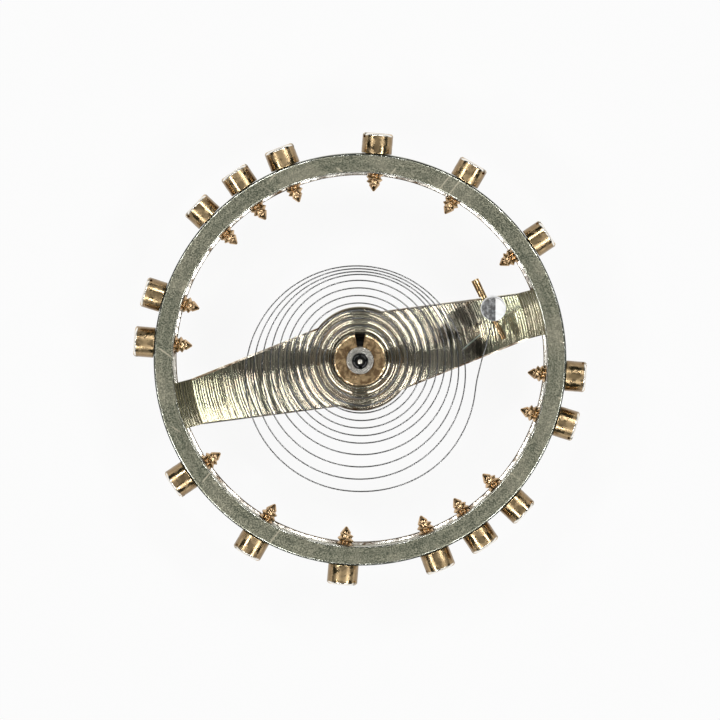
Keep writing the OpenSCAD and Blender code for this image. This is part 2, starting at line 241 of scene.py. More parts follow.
def softenEdges(obj, width, angle):
    # A real small bevel on every edge above an angle
    bevel = obj.modifiers.new("edges", "BEVEL")
    bevel.width = width
    bevel.segments = meshing["bevelSteps"]
    bevel.limit_method = "ANGLE"
    bevel.angle_limit = math.radians(angle)
    bevel.use_clamp_overlap = True
    bevel.harden_normals = False
    return applyModifiers(obj)


def shadeSmooth(mesh, sharp):
    # To metres and smooth shaded, with edges above an angle kept sharp
    mesh.transform(Matrix.Scale(mm, 4))
    for face in mesh.polygons:
        face.use_smooth = True
    mesh.set_sharp_from_angle(angle=math.radians(sharp))


def finishPiece(obj, materials, body, node, sharp=30, choose=None):
    # Materials, where choose(face) picks one of them; then clean normals, shading and its body
    mesh = obj.data
    for material in materials:
        mesh.materials.append(material)
    if choose:
        for face in mesh.polygons:
            face.material_index = materials.index(choose(face))
    clean = bmesh.new()
    clean.from_mesh(mesh)
    bmesh.ops.remove_doubles(clean, verts=clean.verts, dist=meshing["weld"])
    bmesh.ops.recalc_face_normals(clean, faces=clean.faces)
    clean.to_mesh(mesh)
    clean.free()
    shadeSmooth(mesh, sharp)
    weighted = obj.modifiers.new("normals", "WEIGHTED_NORMAL")
    weighted.keep_sharp = True
    weighted.weight = meshing["normalWeight"]
    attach(obj, body)
    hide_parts(node)


# Shader tools

def plug(tree, value, socket):
    if isinstance(value, bpy.types.NodeSocket):
        tree.links.new(value, socket)
    elif socket.type == "RGBA":
        socket.default_value = (*value, 1.0)
    else:
        socket.default_value = value


def place(tree, kind, inputs=(), **settings):
    # Adds a node, sets its properties and fills its inputs in order
    node = tree.nodes.new(kind)
    for key, value in settings.items():
        setattr(node, key, value)
    for value, socket in zip(inputs, node.inputs):
        plug(tree, value, socket)
    return node


def calc(tree, operation, *inputs):
    return place(tree, "ShaderNodeMath", inputs, operation=operation).outputs[0]


def times(tree, a, b):
    return calc(tree, "MULTIPLY", a, b)


def vectorMath(tree, operation, *inputs):
    node = place(tree, "ShaderNodeVectorMath", inputs, operation=operation)
    isNumber = operation in ("LENGTH", "DISTANCE", "DOT_PRODUCT")
    return node.outputs["Value" if isNumber else "Vector"]


def fromAxis(tree, position):
    # The way out from the staff's axis, and its length
    flat = vectorMath(tree, "MULTIPLY", position, (1, 1, 0))
    return flat, vectorMath(tree, "LENGTH", flat)


def span(tree, value, low, high):
    # A smooth step from 0 at low to 1 at high
    node = place(tree, "ShaderNodeMapRange", (value, low, high, 0.0, 1.0))
    node.interpolation_type = "SMOOTHSTEP"
    return node.outputs[0]


def noise(tree, where, scale, detail, roughness=0.55, distortion=0.0, dimensions="3D"):
    node = place(tree, "ShaderNodeTexNoise", noise_dimensions=dimensions)
    plug(tree, where, node.inputs["W" if dimensions == "1D" else "Vector"])
    plug(tree, scale, node.inputs["Scale"])
    node.inputs["Detail"].default_value = detail
    node.inputs["Roughness"].default_value = roughness
    node.inputs["Distortion"].default_value = distortion
    return node.outputs["Fac"]


def blendColors(tree, factor, a, b, how="MIX"):
    node = place(tree, "ShaderNodeMix", data_type="RGBA", blend_type=how)
    plug(tree, factor, node.inputs[0])
    plug(tree, a, node.inputs[6])
    plug(tree, b, node.inputs[7])
    return node.outputs[2]


def layer(tree, under, over, mask, share=None):
    # Lays one colour over another by a mask, or by a share of it
    factor = mask if share is None else times(tree, mask, share)
    return blendColors(tree, factor, under, over)


def newGroup(name, inputs, outputs):
    # A group's first input is the place in mm; the others are numbers with a default
    group = bpy.data.node_groups.new(name, "ShaderNodeTree")
    group.interface.new_socket("Position", in_out="INPUT", socket_type="NodeSocketVector")
    for label, value in inputs.items():
        socket = group.interface.new_socket(label, in_out="INPUT", socket_type="NodeSocketFloat")
        socket.default_value = value
    for label in outputs:
        group.interface.new_socket(label, in_out="OUTPUT", socket_type="NodeSocketFloat")
    start = group.nodes.new("NodeGroupInput")
    end = group.nodes.new("NodeGroupOutput")
    return group, start.outputs, end.inputs


def useGroup(tree, group, *values):
    node = tree.nodes.new("ShaderNodeGroup")
    node.node_tree = group
    for value, socket in zip(values, node.inputs):
        plug(tree, value, socket)
    return node.outputs


# Effects that several metals share. A noise's values are its scale, unless that comes from the
# number per mm, and then its detail, roughness and distortion, as far as they are set.

speckleShape = {
    "fine": (2.0, 0.6), "coarse": (3.0, 0.6), "coarseScale": 0.23, "coarseShare": 0.12,
    "contrast": (0.36, 0.64), "pitScale": 0.45, "pitReach": (0.32, 0.12),
    "fieldScale": 0.4, "fieldDetail": 1.0, "fieldKept": (0.56, 0.66),
}


def buildSpeckle(s):
    # Fine grain of a satin or etched metal: light and dark specks, pits, and their height
    group, start, end = newGroup(
        "Metal speckle", {"Grains per mm": 12.0, "Bite": 0.5}, ("Grain", "Pits", "Height"))
    position, perMm, bite = start[:3]
    fine = noise(group, position, perMm, *s["fine"])
    coarse = noise(group, position, times(group, perMm, s["coarseScale"]), *s["coarse"])
    grain = times(group, fine, 1 - s["coarseShare"])
    grain = calc(group, "ADD", grain, times(group, coarse, s["coarseShare"]))
    cells = place(group, "ShaderNodeTexVoronoi")
    plug(group, position, cells.inputs["Vector"])
    plug(group, times(group, perMm, s["pitScale"]), cells.inputs["Scale"])
    field = noise(group, position, times(group, perMm, s["fieldScale"]), s["fieldDetail"])
    pits = span(group, cells.outputs["Distance"], *s["pitReach"])
    pits = times(group, times(group, pits, span(group, field, *s["fieldKept"])), bite)
    plug(group, span(group, grain, *s["contrast"]), end["Grain"])
    plug(group, pits, end["Pits"])
    plug(group, calc(group, "SUBTRACT", grain, pits), end["Height"])
    return group


ringShape = {
    "drift": (0.9, 2.0), "pitchNoise": (0.9, 1.0, 0.5), "pitchPlay": 0.7,
    "marks": (3.0, 0.7), "marksKept": (0.34, 0.66),
}


def buildTurnedRings(s):
    # Tool marks of a lathe about the staff: uneven dark rings, and V-shaped grooves as the height
    group, start, end = newGroup(
        "Turned rings", {"Rings per mm": 10.0, "Waver": 0.03}, ("Rings", "Height", "Radius"))
    position, perMm, waver = start[:3]
    radius = fromAxis(group, position)[1]
    drift = calc(group, "SUBTRACT", noise(group, position, *s["drift"]), 0.5)
    across = calc(group, "ADD", radius, times(group, drift, waver))
    turns = times(group, across, perMm)
    uneven = noise(group, turns, *s["pitchNoise"], dimensions="1D")
    phase = calc(group, "MULTIPLY_ADD", uneven, s["pitchPlay"], turns)
    marks = noise(group, across, perMm, *s["marks"], dimensions="1D")
    plug(group, span(group, marks, *s["marksKept"]), end["Rings"])
    plug(group, calc(group, "PINGPONG", times(group, phase, 2.0), 1.0), end["Height"])
    plug(group, radius, end["Radius"])
    return group


scratchShape = {
    "sets": ((0.62, 3.1), (2.25, 11.7)),  # each set's turn in radians and its shift in mm
    "line": (0.022, 0.006), "partNoise": (0.9, 1.0), "partEdge": 0.06,
}


def buildScratches(s):
    # A few thin handling scratches, long and straight, in two directions
    group, start, end = newGroup(
        "Handling scratches", {"Per mm": 1.0, "Keep": 0.5}, ("Scratches",))
    position, perMm, keep = start[:3]
    found = 0.0
    for turn, shift in s["sets"]:
        mapping = place(group, "ShaderNodeMapping")
        plug(group, position, mapping.inputs["Vector"])
        mapping.inputs["Rotation"].default_value = (0, 0, turn)
        mapping.inputs["Location"].default_value = (shift, shift / 2, 0)
        where = mapping.outputs[0]
        cells = place(group, "ShaderNodeTexVoronoi", voronoi_dimensions="1D")
        plug(group, place(group, "ShaderNodeSeparateXYZ", (where,)).outputs["Y"], cells.inputs["W"])
        plug(group, perMm, cells.inputs["Scale"])
        line = span(group, cells.outputs["Distance"], *s["line"])
        part = noise(group, where, *s["partNoise"])
        part = span(group, part, keep, calc(group, "ADD", keep, s["partEdge"]))
        found = calc(group, "MAXIMUM", found, times(group, line, part))
    plug(group, found, end["Scratches"])
    return group


tarnishShape = {
    "broad": (5.0, 0.62, 0.6), "level": 0.75, "levelPerSpread": 0.5, "edge": 0.12,
    "fleckScale": 7.0, "flecks": (3.0, 0.7), "flecksKept": (0.55, 0.68),
}


def buildTarnish(s):
    # Uneven patches of an old surface, and finer flecks
    group, start, end = newGroup(
        "Tarnish", {"Patches per mm": 1.5, "Spread": 0.5}, ("Patches", "Flecks"))
    position, perMm, spread = start[:3]
    broad = noise(group, position, perMm, *s["broad"])
    level = calc(group, "SUBTRACT", s["level"], times(group, spread, s["levelPerSpread"]))
    low = calc(group, "SUBTRACT", level, s["edge"])
    high = calc(group, "ADD", level, s["edge"])
    flecks = noise(group, position, times(group, perMm, s["fleckScale"]), *s["flecks"])
    plug(group, span(group, broad, low, high), end["Patches"])
    plug(group, span(group, flecks, *s["flecksKept"]), end["Flecks"])
    return group


speckle = buildSpeckle(speckleShape)
turnedRings = buildTurnedRings(ringShape)
scratches = buildScratches(scratchShape)
tarnish = buildTarnish(tarnishShape)


# Materials. In a look, "grain", "scratches", "tarnish" and "rings" are that effect's own values:
# how many per mm, and its bite, keep, spread or waver.

def newMaterial(name, **fixed):
    # A Principled metal; fixed values go on its own sockets. The place is in mm.
    material = bpy.data.materials.new(name)
    material.use_nodes = True
    tree = material.node_tree
    shader = tree.nodes["Principled BSDF"]
    shader.inputs["Metallic"].default_value = 1.0
    for key, value in fixed.items():
        shader.inputs[key.replace("_", " ")].default_value = value
    where = place(tree, "ShaderNodeTexCoord").outputs["Object"]
    position = place(tree, "ShaderNodeVectorMath", (where,), operation="SCALE")
    position.inputs["Scale"].default_value = 1 / mm
    return material, tree, shader, position.outputs[0]


def dress(tree, shader, color, roughness, dulling, height, relief):
    # Colour, roughness with what dulls it, and the height as a bump of so many mm
    plug(tree, color, shader.inputs["Base Color"])
    plug(tree, calc(tree, "ADD", roughness, dulling), shader.inputs["Roughness"])
    bump = place(tree, "ShaderNodeBump")
    bump.inputs["Strength"].default_value = 1.0
    bump.inputs["Distance"].default_value = relief * mm
    plug(tree, height, bump.inputs["Height"])
    tree.links.new(bump.outputs[0], shader.inputs["Normal"])


satinRimLook = {
    "base": (0.59, 0.575, 0.43), "light": (0.80, 0.74, 0.57), "dark": (0.13, 0.15, 0.11),
    "grain": (32.0, 0.5), "scratches": (0.8, 0.56), "tarnish": (0.8, 0.45), "rings": (9.0, 0.05),
    "ringShare": 0.3, "patchShare": 0.35, "roughness": 0.33, "grainDulls": 0.12, "relief": 0.002,
}


def satinRimMaterial(look):
    material, tree, shader, position = newMaterial("satin_rim")
    grain = useGroup(tree, speckle, position, *look["grain"])
    marks = useGroup(tree, scratches, position, *look["scratches"])
    stain = useGroup(tree, tarnish, position, *look["tarnish"])
    rings = useGroup(tree, turnedRings, position, *look["rings"])
    color = layer(tree, look["dark"], look["base"], grain["Grain"])
    color = layer(tree, color, look["dark"], rings["Rings"], look["ringShare"])
    color = layer(tree, color, look["light"], stain["Patches"], look["patchShare"])
    color = layer(tree, color, look["light"], marks["Scratches"])
    dulling = times(tree, grain["Grain"], look["grainDulls"])
    dress(tree, shader, color, look["roughness"], dulling, grain["Height"], look["relief"])
    return material


# Each edge: base, worn, roughness, spread of the wear, relief of its flecks
edgeLooks = {
    "polished_bevel": ((0.78, 0.79, 0.71), (0.26, 0.26, 0.20), 0.14, 0.55, 0.004),
    "brass_wall": ((0.90, 0.87, 0.80), (0.10, 0.06, 0.03), 0.26, 0.4, 0.004),
    # Painted shade: a near-black edge for the steep part of the rim's outer bevel
    "painted_shade_edge": ((0.10, 0.11, 0.09), (0.04, 0.04, 0.03), 0.3, 0.4, 0.004),
    "brown_lip": ((0.26, 0.18, 0.10), (0.08, 0.06, 0.04), 0.3, 0.5, 0.004),
    "arm_arris": ((0.36, 0.33, 0.27), (0.07, 0.04, 0.02), 0.2, 0.45, 0.0005),
}
edgeWear = {"perMm": 2.2, "dulls": 0.15}


def edgeMaterial(name, base, worn, roughness, spread, relief):
    material, tree, shader, position = newMaterial(name)
    stain = useGroup(tree, tarnish, position, edgeWear["perMm"], spread)
    color = layer(tree, base, worn, stain["Patches"])
    color = layer(tree, color, base, stain["Flecks"])
    dulling = times(tree, stain["Patches"], edgeWear["dulls"])
    dress(tree, shader, color, roughness, dulling, stain["Flecks"], relief)
    return material


turnedArmLook = {
    "base": (0.81, 0.79, 0.62), "warm": (0.78, 0.66, 0.52), "warmShare": 0.6,
    "rose": (0.76, 0.58, 0.51), "roseShare": 0.3, "dark": (0.34, 0.35, 0.29), "pitShare": 0.6,
    "rings": (16.0, 0.01), "tarnish": (1.3, 0.4), "grain": (14.0, 0.5),
    # Past these radii the arm's colour is raised above 1, a painted sheen
    "outer": (2.6, 3.8), "bright": (1.16, 1.20, 1.08),  # radii where the outer arm turns brighter
    "brown": (0.36, 0.27, 0.18), "blots": (4.0, 5.0, 0.68), "blotsKept": (0.50, 0.68),
    "blotShare": 0.25, "blotShareOuter": 0.5,
    "band": (0.42, 0.38, 0.29), "bandEdge": (4.10, 4.13), "bandShare": 0.8,
    # This dark colour marks the oil spots, and round the staff it is a painted shade under the collet
    "oilAndShade": (0.03, 0.025, 0.02), "staffShade": (0.68, 0.62),
    "spots": ((2.62, 1.12, 0.44), (2.86, 0.28, 0.3), (2.1, 0.62, 0.3)),  # x, y and reach in mm
    "spotEdge": (0.5, 0.2), "spotShare": 0.8, "ragged": (5.0, 4.0, 0.65), "raggedBy": 0.8,
    "fresh": (0.86, 0.96, 0.88),
    "scratch": ((2.472, 0.213, 0), (2.956, 0.629, 0), 0.012, 0.05),  # from, to, half width, fading
    "roughness": 0.19, "outerDulls": 0.04, "scratchDulls": 0.5, "grooveDepth": 0.012,
}


def lineMask(tree, position, start, end, half, fading):
    # One straight scratch between two points, seen along Z
    run = Vector(end) - Vector(start)
    reach = run.length / 2
    run.normalize()
    offset = vectorMath(tree, "SUBTRACT", position, start)
    along = vectorMath(tree, "DOT_PRODUCT", offset, tuple(run))
    across = vectorMath(tree, "DOT_PRODUCT", offset, (-run.y, run.x, 0))
    fromMiddle = calc(tree, "ABSOLUTE", calc(tree, "SUBTRACT", along, reach))
    within = span(tree, fromMiddle, reach, reach - fading)
    return times(tree, within, span(tree, calc(tree, "ABSOLUTE", across), half, half / 2))


def turnedArmMaterial(look):
    material, tree, shader, position = newMaterial(
        "turned_arm", Anisotropic=1.0, Anisotropic_Rotation=0.25)
    tangent = place(tree, "ShaderNodeTangent", direction_type="RADIAL", axis="Z")
    tree.links.new(tangent.outputs[0], shader.inputs["Tangent"])
    rings = useGroup(tree, turnedRings, position, *look["rings"])
    stain = useGroup(tree, tarnish, position, *look["tarnish"])
    grain = useGroup(tree, speckle, position, *look["grain"])
    radius = rings["Radius"]
    outer = span(tree, radius, *look["outer"])
    color = layer(tree, look["base"], look["warm"], stain["Patches"], look["warmShare"])
    # The rings are rosy round the hub and lose that outwards
    rosy = calc(tree, "MULTIPLY_ADD", outer, -look["roseShare"], look["roseShare"])
    color = layer(tree, color, look["rose"], times(tree, rings["Rings"], rosy))
    color = layer(tree, color, look["dark"], grain["Pits"], look["pitShare"])
    # Painted sheen: the outer arm's colour is multiplied above 1
    color = blendColors(tree, outer, color, look["bright"], "MULTIPLY")
    blots = span(tree, noise(tree, position, *look["blots"]), *look["blotsKept"])
    blotShare = calc(tree, "MULTIPLY_ADD", outer, look["blotShareOuter"], look["blotShare"])
    color = layer(tree, color, look["brown"], times(tree, blots, blotShare))
    color = layer(tree, color, look["band"], span(tree, radius, *look["bandEdge"]), look["bandShare"])
    ragged = times(tree, noise(tree, position, *look["ragged"]), look["raggedBy"])
    for x, y, reach in look["spots"]:
        apart = calc(tree, "ADD", vectorMath(tree, "DISTANCE", position, (x, y, armTop)), ragged)
        spot = span(tree, apart, *[reach + edge for edge in look["spotEdge"]])
        color = layer(tree, color, look["oilAndShade"], spot, look["spotShare"])
    # Painted shade round the staff, under the collet and seen through its slit
    color = layer(tree, color, look["oilAndShade"], span(tree, radius, *look["staffShade"]))
    scratch = lineMask(tree, position, *look["scratch"])
    color = layer(tree, color, look["fresh"], scratch)
    dulling = times(tree, scratch, look["scratchDulls"])
    dulling = calc(tree, "MULTIPLY_ADD", outer, look["outerDulls"], dulling)
    dress(tree, shader, color, look["roughness"], dulling, rings["Height"], look["grooveDepth"])
    return material


screwLook = {
    "head": (0.74, 0.54, 0.30), "headTarnishAndShade": (0.19, 0.125, 0.065), "headFrom": (4.6, 4.9),
    "tip": (0.68, 0.47, 0.27), "tipDark": (0.16, 0.09, 0.04),
    "tarnish": (3.2, 0.45), "grain": (24.0, 0.5), "patchShare": 0.45,
    # The flanks take a painted shade in the dark head colour, which also serves the tarnish
    "flankShadeTilt": (0.84, 0.55), "flankShadeTurn": (0.8, 0.4), "flankShadeShare": 0.75,
    # The edge colour is a painted highlight along the upper edge of a head's end
    "edge": (0.98, 0.95, 0.88), "highlightAt": (5.43, 5.45), "highlightTilt": (0.3, 0.5),
    "roughness": 0.17, "dull": (5.5, 3.0), "dullKept": (0.42, 0.58), "dulls": 0.18,
    "tarnishHeight": 0.4, "relief": 0.002,
}


def screwMaterial(look):
    # Heads and tips are told apart by their distance from the staff
    material, tree, shader, position = newMaterial("screw_brass")
    stain = useGroup(tree, tarnish, position, *look["tarnish"])
    grain = useGroup(tree, speckle, position, *look["grain"])
    shade = calc(tree, "MAXIMUM", times(tree, stain["Patches"], look["patchShare"]), grain["Pits"])
    flat, radius = fromAxis(tree, position)
    normal = place(tree, "ShaderNodeTexCoord").outputs["Normal"]
    upward = calc(tree, "ABSOLUTE", place(tree, "ShaderNodeSeparateXYZ", (normal,)).outputs["Z"])
    outward = vectorMath(tree, "DOT_PRODUCT", normal, vectorMath(tree, "NORMALIZE", flat))
    # Painted shade: a head is dark on its flanks, which face neither up nor outwards
    shadedFlank = span(tree, upward, *look["flankShadeTilt"])
    shadedFlank = times(tree, shadedFlank, span(tree, outward, *look["flankShadeTurn"]))
    head = layer(tree, look["head"], look["headTarnishAndShade"], shadedFlank, look["flankShadeShare"])
    head = layer(tree, head, look["headTarnishAndShade"], shade)
    # and a painted highlight along the upper edge of its end
    endHighlight = times(tree, span(tree, radius, *look["highlightAt"]), span(tree, upward, *look["highlightTilt"]))
    head = layer(tree, head, look["edge"], endHighlight)
    tip = layer(tree, look["tip"], look["tipDark"], shade)
    color = layer(tree, tip, head, span(tree, radius, *look["headFrom"]))
    dull = span(tree, noise(tree, position, *look["dull"]), *look["dullKept"])
    height = calc(tree, "ADD", grain["Height"], times(tree, stain["Patches"], look["tarnishHeight"]))
    dulling = times(tree, dull, look["dulls"])
    dress(tree, shader, color, look["roughness"], dulling, height, look["relief"])
    return material


# Plain metals: bright, dull, roughness, then what differs from plainWear
plainWear = {
    "tarnish": (3.0, 0.35), "patchShare": 0.55, "grain": (15.0, 0.5), "rings": (11.0, 0.02),
    "ringShare": 0.0, "dulls": 0.1, "relief": 0.003, "metallic": 1.0,
}
brassWear = {
    "tarnish": (7.0, 0.6), "patchShare": 0.85, "grain": (16.0, 0.8), "ringShare": 0.42,
    "dulls": 0.12, "relief": 0.008,
}
plainLooks = {
    "spring_steel": ((0.31, 0.31, 0.31), (0.11, 0.11, 0.11), 0.2, {}),
    "staff_steel": (
        (0.96, 0.93, 0.86), (0.22, 0.19, 0.16), 0.26,
        {"tarnish": (7.0, 0.5), "patchShare": 0.7, "relief": 0.015}),
    # Near-black steel: a painted dark reflection on the pivot cones and a painted shade on the rivet
    "painted_shade_steel": ((0.035, 0.035, 0.035), (0.015, 0.015, 0.015), 0.06, {}),
    "roller_steel": ((0.42, 0.42, 0.44), (0.24, 0.23, 0.22), 0.3, {}),
    "stud_steel": ((0.52, 0.52, 0.53), (0.30, 0.29, 0.28), 0.36, {}),
    "filed_steel": (
        (0.90, 0.91, 0.93), (0.07, 0.07, 0.07), 0.36, {"tarnish": (9.0, 0.55), "patchShare": 0.75}),
    # A rough, near-white, almost non-metal top: a painted highlight
    "painted_highlight_top": ((1.0, 1.0, 1.0), (0.80, 0.79, 0.77), 0.5, {"metallic": 0.1}),
    "collet_brass": ((1.0, 0.71, 0.39), (0.09, 0.045, 0.02), 0.3, brassWear),
    # Darker copies of the collet brass for its sides and bevel, a painted shade
    "collet_side_painted_shade": ((0.30, 0.20, 0.11), (0.10, 0.06, 0.03), 0.14, brassWear),
    "collet_bevel_painted_shade": ((0.74, 0.57, 0.36), (0.05, 0.03, 0.01), 0.12, brassWear),
    "pin_brass": ((0.92, 0.70, 0.40), (0.26, 0.15, 0.06), 0.14, brassWear),
}


def plainMaterial(name, bright, dull, roughness, differs):
    wear = {**plainWear, **differs}
    material, tree, shader, position = newMaterial(name, Metallic=wear["metallic"])
    stain = useGroup(tree, tarnish, position, *wear["tarnish"])
    grain = useGroup(tree, speckle, position, *wear["grain"])
    shade = times(tree, stain["Patches"], wear["patchShare"])
    shade = calc(tree, "MAXIMUM", shade, grain["Pits"])
    if wear["ringShare"]:
        rings = useGroup(tree, turnedRings, position, *wear["rings"])
        shade = calc(tree, "MAXIMUM", shade, times(tree, rings["Rings"], wear["ringShare"]))
    dulling = times(tree, stain["Patches"], wear["dulls"])
    color = layer(tree, bright, dull, shade)
    dress(tree, shader, color, roughness, dulling, grain["Height"], wear["relief"])
    return material


rubyLook = {"color": (0.72, 0.05, 0.16), "clouds": (0.42, 0.01, 0.07), "tarnish": (5.0, 0.5)}


def rubyMaterial(look):
    material, tree, shader, position = newMaterial(
        "ruby", Metallic=0.0, Roughness=0.05, Transmission_Weight=0.6, IOR=1.76)
    stain = useGroup(tree, tarnish, position, *look["tarnish"])
    plug(tree, layer(tree, look["color"], look["clouds"], stain["Patches"]), shader.inputs["Base Color"])
    return material


satinRim = satinRimMaterial(satinRimLook)
turnedArm = turnedArmMaterial(turnedArmLook)
screwBrass = screwMaterial(screwLook)
ruby = rubyMaterial(rubyLook)
edges = {name: edgeMaterial(name, *look) for name, look in edgeLooks.items()}
metals = {name: plainMaterial(name, *look) for name, look in plainLooks.items()}
print("materials built:", len(bpy.data.materials))


# Balance wheel: rim, ledge, arm and hub are one piece of metal

wheel = {
    "rimWidth": 0.47, "rimBevel": 0.07, "innerBevel": 0.05, "edge": 0.02, "edgeSteps": 7,
    "ledgeWidth": 0.07, "ledgeFall": 0.027, "ledgeGap": 0.003, "stepWidth": 0.41, "stepDepth": 0.05,
    "armAngle": 14.7, "armHeight": 0.25, "armWidthHub": 2.18, "armWidthRim": 1.13, "armInRim": 0.17,
    "armChamfer": 0.04, "armSlope": 0.385, "hubWidth": 2.54, "hubBevel": 0.06,
    "boreGap": 0.004, "drillLength": 1.4, "drillBefore": 0.1,
    "segments": 720, "hubSegments": 240, "bandSegments": 360,
    "boreSegments": 128, "drillSegments": 40,
}
# A face's finish goes by how level it is, from 0 upright to 1 flat, and by where it lies in mm
wheelFinishes = {
    "wall": 0.05, "darkEdge": 0.81, "lip": 0.97, "chamfer": (0.3, 0.95), "bevel": 0.98,
    "lipWidth": 0.021, "ledgeMargin": 0.012,
}
rimInner = rimRadius - wheel["rimWidth"]
ledgeRadius = rimInner - wheel["ledgeWidth"]
armLow = armTop - wheel["armHeight"]
armTurn = turned(wheel["armAngle"])
screwHeight = (rimLow + rimTop) / 2


def buildWheel(w):
    edge = w["edge"]
    stepRadius = rimInner - w["stepWidth"]
    stepTop = armTop - w["stepDepth"]
    ledgeTop = stepTop - w["ledgeGap"]
    ledgeLow = armLow + w["ledgeGap"]
    rim = turnedPiece("wheel_with_arm", [
        (rimInner, rimLow, edge), (rimRadius, rimLow, w["rimBevel"]), (rimRadius, rimTop, w["rimBevel"]),
        (rimInner, rimTop, w["innerBevel"]), (rimInner, ledgeTop, 0),
        (ledgeRadius, ledgeTop - w["ledgeFall"], edge), (ledgeRadius, ledgeLow, edge),
        (rimInner, ledgeLow, 0),
    ], w["segments"], closed=True, steps=w["edgeSteps"])
    end = rimInner + w["armInRim"]
    half = w["armWidthRim"] / 2
    middle = (0, -w["armWidthHub"] / 2)
    side = [(-end, -half), (-stepRadius, -half), middle, (stepRadius, -half), (end, -half)]
    chamfer = w["armChamfer"]
    arm = prism("arm", side + [(-x, -y) for x, y in side], [
        (armLow, chamfer / 2), (armLow + chamfer / 2, 0),
        (armTop - chamfer * w["armSlope"], 0), (armTop, chamfer)])
    turnedBy(arm, armTurn)
    hubRadius = w["hubWidth"] / 2
    hub = turnedPiece("hub", [
        (0, armLow, 0), (hubRadius, armLow, edge), (hubRadius, armTop - w["hubBevel"], edge),
        (hubRadius - w["hubBevel"], armTop, edge), (0, armTop, 0)], w["hubSegments"])
    combine(arm, [hub], "UNION")
    outside = rimRadius + cutPast
    room = [(stepRadius, stepTop), (outside, stepTop), (outside, rimTop), (stepRadius, rimTop)]
    band = lathe("cutter", room, w["bandSegments"], closed=True)
    bore = rod(staff["wheelSeat"] + w["boreGap"], armLow - cutPast, armTop + cutPast, w["boreSegments"])
    combine(arm, [band, bore], "DIFFERENCE")
    combine(rim, [arm], "UNION")
    drillRadius = screws["threadRadius"] + screws["holeGap"]
    inWall = moved(stepRadius - w["drillBefore"], 0, screwHeight) @ lying
    drills = []
    for n in range(1, screws["count"] + 1):
        drill = rod(drillRadius, 0, w["drillLength"], w["drillSegments"])
        drills.append(turnedBy(drill, turned(screwTurn(n)) @ inWall))
    return combine(rim, drills, "DIFFERENCE")


def wheelFinish(face):
    # Satin rim and upright walls, bright bevels and ledge, turned arm and hub, and a near-black outer bevel
    # that is painted shade
    level = abs(face.normal.z)
    radius = math.hypot(face.center.x, face.center.y)
    inside = radius < ledgeRadius + near
    limits = wheelFinishes
    if not inside and level < limits["wall"]:
        return satinRim
    # Painted shade: the steep part of the outer bevel is near-black
    if radius > rimRadius - wheel["rimBevel"] and level < limits["darkEdge"]:
        return edges["painted_shade_edge"]
    onLip = -near < radius - ledgeRadius < limits["lipWidth"]
    if onLip and level < limits["lip"] and face.center.z < armTop:
        return edges["brown_lip"]
    if inside:
        onChamfer = limits["chamfer"][0] < level < limits["chamfer"][1]
        return edges["arm_arris"] if onChamfer else turnedArm
    if radius < rimInner + limits["ledgeMargin"]:
        return edges["brass_wall"]
    return edges["polished_bevel"] if level < limits["bevel"] else satinRim


# Balance staff

staff = {
    "pivotRadius": 0.055, "pivotLength": 0.2, "pivotRound": 0.022, "pivotBulge": (0.3, 0.4),
    "flare": 0.14, "flareStep": 10, "arborRadius": 0.27, "arborLength": 0.86, "flangeRadius": 0.75,
    "wheelSeat": 0.45, "rivetLip": 0.06, "rivetHeight": 0.06, "colletSeat": 0.33,
    "seatAboveCollet": 0.1, "coneRadius": 0.21, "coneLength": 0.22,
    "edge": 0.02, "flangeEdge": 0.03, "lipEdge": 0.012, "seatEdge": 0.025, "coneEdge": 0.01,
    "segments": 128,
}


def buildStaff(s):
    low, top = heights("balance_staff")
    pivot = s["pivotRadius"]
    lowEnd = [(0, low), (pivot - s["pivotRound"], low),
              (pivot - s["pivotRound"] * s["pivotBulge"][0], low + s["pivotRound"] * s["pivotBulge"][1]),
              (pivot, low + s["pivotRound"])]
    shoulder = pivot + s["flare"]
    arborLow = low + s["pivotLength"] + s["flare"]
    for a in range(90, -1, -s["flareStep"]):
        way = heading(a) * s["flare"]
        lowEnd.append((shoulder - way.y, low + s["pivotLength"] + way.x))
    topEnd = [(r, top + low - z) for r, z in reversed(lowEnd)]
    flangeLow = arborLow + s["arborLength"]
    seatTop = heights("collet")[1] + s["seatAboveCollet"]
    rivetTop = armTop + s["rivetHeight"]
    body = roundedOutline([
        (shoulder, arborLow, 0), (s["arborRadius"], arborLow, s["edge"]), (s["arborRadius"], flangeLow, 0),
        (s["flangeRadius"], flangeLow, s["flangeEdge"]), (s["flangeRadius"], armLow - faceGap, s["edge"]),
        (s["wheelSeat"], armLow - faceGap, 0), (s["wheelSeat"], armTop + faceGap, 0),
        (s["wheelSeat"] + s["rivetLip"], armTop + faceGap, s["lipEdge"]),
        (s["wheelSeat"], rivetTop, s["lipEdge"]),
        (s["colletSeat"], rivetTop, 0), (s["colletSeat"], seatTop, s["seatEdge"]),
        (s["coneRadius"], seatTop, s["coneEdge"]), (shoulder, seatTop + s["coneLength"], 0),
    ])
    return lathe("staff_with_pivots", lowEnd + body[1:-1] + topEnd, s["segments"])


def staffFinish(face):
    # Near-black steel on the cones beside the pivots, a painted dark reflection, and on the rivet that holds
    # the wheel, a painted shade under the collet's slit
    radius = math.hypot(face.center.x, face.center.y)
    cone = staff["pivotRadius"] + 2 * near < radius < staff["coneRadius"] + 2 * near
    rivet = radius > staff["colletSeat"] + near and face.center.z > armTop
    return metals["painted_shade_steel" if cone or rivet else "staff_steel"]


# Rollers and impulse jewel

